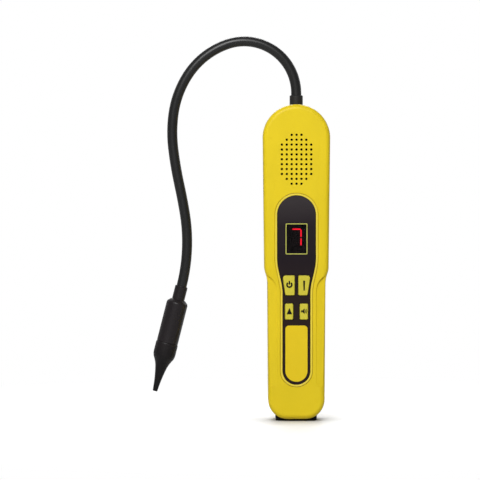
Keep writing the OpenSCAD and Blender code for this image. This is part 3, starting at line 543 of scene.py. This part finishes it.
def window_band():
    """The frame of the window: an olive line round its outer edge, black on both sides of it."""
    f = Finish("WindowBand")
    low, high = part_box("window_frame")
    middle, half = (low + high) / 2, (high - low) / 2
    across = f.maths("SUBTRACT", f.maths("ABSOLUTE", f.axis("X")), half.x - WINDOW_EDGE)
    rise = f.maths("ABSOLUTE", f.maths("SUBTRACT", f.axis("Z"), middle.z))
    along = f.maths("SUBTRACT", rise, half.z - WINDOW_EDGE)
    away = f.maths("ABSOLUTE", f.maths("MAXIMUM", across, along))
    line = f.spread(away, 1.0, 0.0, WINDOW_LINE / 2 - LINE_SOFT, WINDOW_LINE / 2 + LINE_SOFT)
    tone = f.ramp(f.noise(4), [(0.3, linear(206, 206, 92)), (0.7, linear(216, 216, 104))])
    f.set("Base Color", f.mix(line, linear(16, 12, 13), tone))
    f.set("Roughness", f.spread(f.noise(2), 0.4, 0.5))
    f.set("Specular IOR Level", 0.3)
    return f.material


def tinted_window():
    """Smoked acrylic: clear enough to read the lit bars, dark enough to hide the rest."""
    f = Finish("LensSmoke")
    tint = f.ramp(f.noise(20, 2.0), [(0.3, (0.20, 0.13, 0.15)), (0.7, (0.23, 0.15, 0.17))])
    f.set("Base Color", tint)
    f.set("Roughness", f.spread(f.noise(6, 4.0), 0.02, 0.07))
    f.set("Transmission Weight", 1.0)
    f.set("IOR", LENS_IOR)
    return f.material


def lit_bar(colour):
    """A lit bar: its glow drifts a little along the moulding."""
    f = Finish("BarLit")
    f.set("Base Color", shade(colour, 0.25))
    f.set("Roughness", 0.4)
    f.set("Emission Color", colour)
    f.set("Emission Strength", f.spread(f.noise(1.2, 2.0), BAR_GLOW * 0.85, BAR_GLOW * 1.1))
    return f.material


window_line = window_band()
digit_case = moulded("DigitCase", linear(9, 6, 7), 0.6, gloss=0.2)
lens_smoke = tinted_window()
bar_lit = lit_bar(linear(255, 22, 50))
bar_dark = moulded("BarDark", linear(24, 8, 9), 0.5, drift=0.04, edge=0, gloss=0.2)
key_ink = moulded("KeyInk", linear(9, 5, 3), 0.6, depth=0.004, edge=0, gloss=0.15)
print("finishes", len(bpy.data.materials))

# %% [markdown]
# ## Paint the CAD nodes
# Every node of the CAD gets its finish from one list, so none is forgotten: a list is easier to
# read and to check than a finish given in each step. The meshes themselves aren't touched.

# %% Paint every CAD node
PAINT = {
    "front_shell": shell_yellow, "rear_shell": shell_yellow, "battery_cover": cover_yellow,
    "panel_rim": rim_yellow, "key_panel": panel_black_painted_reflection, "inlay_plate": plate_yellow,
    "key_power": key_yellow, "key_level": key_yellow, "key_alarm": key_yellow,
    "key_reset": key_yellow, "foot_pad": foot_rubber_and_painted_shadow, "gland_collar": gland_black,
    "gland_nut": brass, "arm_jacket": hose_rubber, "arm_core": core_steel,
    "tip_collar": tip_black, "tip_barrel": tip_black, "tip_nose": nose_black_painted_shade,
    "sensor_socket": socket_grey, "sensor_can": nickel, "tip_filter": filter_white,
    "housing_screws": steel, "board_screws": steel, "circuit_board": board_green,
    "key_switches": switch_grey, "grille_felt": felt_black, "speaker_frame": dark_frame,
    "speaker_cone": cone_paper, "pump_motor": nickel, "pump_head": socket_grey,
    "pump_tube": tube_clear, "battery_cells": cell_wrap, "contact_plates": nickel,
    "contact_springs": nickel, "digit_module": digit_case, "window_frame": window_line,
    "display_lens": lens_smoke, "digit_lit": bar_lit, "digit_unlit": bar_dark,
}
for node, material in PAINT.items():
    NODES[node].data.materials.clear()
    NODES[node].data.materials.append(material)
print("painted", len(PAINT))

# %% [markdown]
# ## Softer edges on the small mouldings
# A real moulding has no sharp edge: the mould is polished, and a thin line of light runs along
# every corner. The CAD nodes are loose triangles, so they are first welded and their flat faces
# joined, and then a bevel rounds the hard edges and weighted normals keep the flats flat.

# %% Soften the small mouldings
WELD_REACH = 2e-6
FLAT_WITHIN = math.radians(0.3)
EDGE_FROM = math.radians(28)
FLAT_WEIGHT = 80
SOFT_EDGES = {
    "key_power": 0.28, "key_level": 0.28, "key_alarm": 0.28, "key_reset": 0.28,
    "panel_rim": 0.18, "foot_pad": 0.5, "housing_screws": 0.2, "tip_barrel": 0.3,
}


def soften(piece, width):
    weld = piece.modifiers.new("Weld", "WELD")
    weld.merge_threshold = WELD_REACH
    join = piece.modifiers.new("Flats", "DECIMATE")
    join.decimate_type = "DISSOLVE"
    join.angle_limit = FLAT_WITHIN
    bevel = piece.modifiers.new("Edge", "BEVEL")
    bevel.width, bevel.segments = width, 2
    bevel.limit_method, bevel.angle_limit = "ANGLE", EDGE_FROM
    bevel.use_clamp_overlap = False
    bevel.miter_outer = "MITER_ARC"
    normals = piece.modifiers.new("Normals", "WEIGHTED_NORMAL")
    normals.keep_sharp, normals.weight = True, FLAT_WEIGHT


for node, width in SOFT_EDGES.items():
    soften(NODES[node], width * MM)
print("softened", len(SOFT_EDGES))

# %% [markdown]
# ## New pieces
# Two kinds of piece are added to the CAD: the bars of the digit, and the symbols on the keys. Both
# start as flat outlines. They get their thickness, are stood up to face the viewer, and ride on
# the body that carries them.

# %% Helpers for new pieces
QUARTER = math.pi / 2
MERGE_REACH = 1e-7


def thicken(bm, thick):
    """Gives flat faces their thickness, upwards."""
    grown = bmesh.ops.extrude_face_region(bm, geom=bm.faces[:])["geom"]
    moved = [v for v in grown if isinstance(v, bmesh.types.BMVert)]
    bmesh.ops.translate(bm, verts=moved, vec=(0, 0, thick))


def turn(bm, verts, angle, axis):
    matrix = Matrix.Rotation(angle, 3, axis)
    bmesh.ops.rotate(bm, verts=verts, cent=(0, 0, 0), matrix=matrix)


def to_front(bm, x, z, depth):
    """Stands a flat shape up to face the viewer, depth metres in front of the body's middle."""
    turn(bm, bm.verts, QUARTER, "X")
    bmesh.ops.translate(bm, verts=bm.verts, vec=(x, -depth, z))


def piece_from(bm, name, body, material):
    bmesh.ops.remove_doubles(bm, verts=bm.verts, dist=MERGE_REACH)
    bmesh.ops.recalc_face_normals(bm, faces=bm.faces)
    mesh = bpy.data.meshes.new(name)
    bm.to_mesh(mesh)
    bm.free()
    mesh.materials.append(material)
    piece = bpy.data.objects.new(name, mesh)
    bpy.context.scene.collection.objects.link(piece)
    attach(piece, body)
    return piece


def join_into(target, part):
    """Adds one bmesh to another."""
    scrap = bpy.data.meshes.new("Scrap")
    part.to_mesh(scrap)
    part.free()
    target.from_mesh(scrap)
    bpy.data.meshes.remove(scrap)


# %% [markdown]
# ## Lit digit
# A one-digit display has seven bars with pointed ends, set in pockets of a dark block. Three of
# them are lit. The bars are made from a flat six-sided disc: its two points are pulled apart, and
# the shape is given its thickness, so each bar ends in the blunt points of the real one.

# %% Places of the digit bars
BAR_WIDE = 0.9 * MM
BAR_THICK = 0.5 * MM
BAR_GAP = 0.22 * MM
BAR_SUNK = 0.02 * MM
SIDE_INSET = 0.65 * MM
TOP_INSET = 0.46 * MM
lit_low, lit_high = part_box("digit_lit")
dark_low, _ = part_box("digit_unlit")
bar_front = -lit_low.y - BAR_SUNK
half_x = lit_high.x - SIDE_INSET
top_z, low_z = lit_high.z - TOP_INSET, dark_low.z + SIDE_INSET
mid_z = (top_z + low_z) / 2
half_arm = (top_z - mid_z) / 2 - BAR_GAP
half_rung = half_x - BAR_GAP
# Each bar has half its length, whether it stands, and the x and z of its middle.
DIGIT_PLAN = {
    "top": (half_rung, False, (0, top_z)),
    "upper_right": (half_arm, True, (half_x, (top_z + mid_z) / 2)),
    "lower_right": (half_arm, True, (half_x, (low_z + mid_z) / 2)),
    "upper_left": (half_arm, True, (-half_x, (top_z + mid_z) / 2)),
    "lower_left": (half_arm, True, (-half_x, (low_z + mid_z) / 2)),
    "middle": (half_rung, False, (0, mid_z)),
    "bottom": (half_rung, False, (0, low_z)),
}
print("digit from", round(low_z / MM, 2), "to", round(top_z / MM, 2), "mm")


# %% Digit bars
def digit_bar(half_long, standing, place):
    """One bar with pointed ends, in a bmesh of its own."""
    bm = bmesh.new()
    point = BAR_WIDE / 2 / math.cos(math.radians(30))  # the disc's flat sides are BAR_WIDE apart
    bmesh.ops.create_circle(bm, cap_ends=True, segments=6, radius=point)
    for side in (-1, 1):
        ends = [v for v in bm.verts if v.co.y * side > 0]
        bmesh.ops.translate(bm, verts=ends, vec=(0, side * (half_long - point), 0))
    if not standing:
        turn(bm, bm.verts, QUARTER, "Z")
    thicken(bm, BAR_THICK)
    to_front(bm, *place, bar_front - BAR_THICK)
    return bm


def digit_piece(name, bars, material, node):
    bm = bmesh.new()
    for key in bars:
        join_into(bm, digit_bar(*DIGIT_PLAN[key]))
    piece = piece_from(bm, name, "detector", material)
    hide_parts(node)


LIT_BARS = ("top", "upper_right", "lower_right")
DARK_BARS = ("upper_left", "lower_left", "middle", "bottom")
digit_piece("digit_bars_lit", LIT_BARS, bar_lit, "digit_lit")
digit_piece("digit_bars_dark", DARK_BARS, bar_dark, "digit_unlit")
print("bars", len(LIT_BARS), "lit and", len(DARK_BARS), "dark")

# %% [markdown]
# ## Key symbols
# The four keys carry small dark symbols, padded on in ink: a power ring, a rising wedge for the
# level, a triangle for the alarm and a loudspeaker. Each is a flat outline made with the operator
# that fits it best: a spin for the ring and the sound arcs, a disc of three corners for the
# triangle, and bars from small grids. They ride on their keys, so they sink with them.

# %% Symbol parts
INK_UP, INK_SUNK = 0.03 * MM, 0.05 * MM


def strip(bm, wide, high, x=0.0, y=0.0, top_share=1.0, right_share=1.0):
    """A flat four-sided shape. The shares widen its upper edge or its right edge."""
    grid = bmesh.ops.create_grid(bm, x_segments=1, y_segments=1, size=0.5)["verts"]
    bmesh.ops.scale(bm, verts=grid, vec=(wide, high, 1))
    for v in grid:
        if v.co.y > 0:
            v.co.x *= top_share
        if v.co.x > 0:
            v.co.y *= right_share
    bmesh.ops.translate(bm, verts=grid, vec=(x, y, 0))


def arc_band(bm, inner, outer, start, sweep, x=0.0, steps=28):
    """A flat band bent round a point. Angles are in degrees, from the right."""
    edge = [bm.verts.new((inner, 0, 0)), bm.verts.new((outer, 0, 0))]
    bm.edges.new(edge)
    turn(bm, edge, math.radians(start), "Z")
    before = set(bm.verts) - set(edge)
    bmesh.ops.spin(bm, geom=edge + [bm.edges.get(edge)], cent=(0, 0, 0), axis=(0, 0, 1),
                   angle=math.radians(sweep), steps=steps, use_merge=False)
    band = [v for v in bm.verts if v not in before]
    bmesh.ops.translate(bm, verts=band, vec=(x, 0, 0))


def symbol(name, body, x, z, draw):
    """Draws one symbol, and inks it onto the face of its key."""
    bm = bmesh.new()
    draw(bm)
    bmesh.ops.recalc_face_normals(bm, faces=bm.faces)
    thicken(bm, INK_UP + INK_SUNK)
    key_face = -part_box(body)[0].y
    to_front(bm, x, z, key_face - INK_SUNK)
    piece_from(bm, name, body, key_ink)


# %% Draw the symbols
def power_ring(bm):
    """An open ring, with a bar that stands in its gap."""
    arc_band(bm, inner=1.15 * MM, outer=2.35 * MM, start=128, sweep=284)
    strip(bm, wide=1.05 * MM, high=2.9 * MM, y=1.45 * MM)


def level_wedge(bm):
    """A tall bar that widens upwards."""
    strip(bm, wide=0.9 * MM, high=7.2 * MM, top_share=1.6)


def alarm_triangle(bm):
    """A triangle that points up, narrower and taller than an even one."""
    radius, narrow, tall, drop = 2.6 * MM, 0.92, 1.19, 0.6 * MM
    corners = bmesh.ops.create_circle(bm, cap_ends=True, segments=3, radius=radius)["verts"]
    bmesh.ops.scale(bm, verts=corners, vec=(narrow, tall, 1))
    bmesh.ops.translate(bm, verts=corners, vec=(0, -drop, 0))


def loudspeaker(bm):
    """A box, a cone that opens to the right, and two arcs of sound."""
    strip(bm, wide=1.1 * MM, high=1.6 * MM, x=-1.6 * MM)
    strip(bm, wide=1.3 * MM, high=1.6 * MM, x=-0.3 * MM, right_share=2.6)
    arc_band(bm, inner=0.95 * MM, outer=1.45 * MM, start=-52, sweep=104, x=-0.1 * MM, steps=12)
    arc_band(bm, inner=1.85 * MM, outer=2.35 * MM, start=-48, sweep=96, x=-0.1 * MM, steps=14)


# Each symbol has a name, its key, the x and z of its middle in millimetres, and its drawing.
SYMBOLS = (("power_symbol", "key_power", -5.16, 99.2, power_ring),
           ("level_symbol", "key_level", 5.5, 98.6, level_wedge),
           ("alarm_symbol", "key_alarm", -5.15, 79.95, alarm_triangle),
           ("sound_symbol", "key_reset", 5.5, 80.0, loudspeaker))
for name, body, x, z, draw in SYMBOLS:
    symbol(name, body, x * MM, z * MM, draw)
print("symbols", len(SYMBOLS))
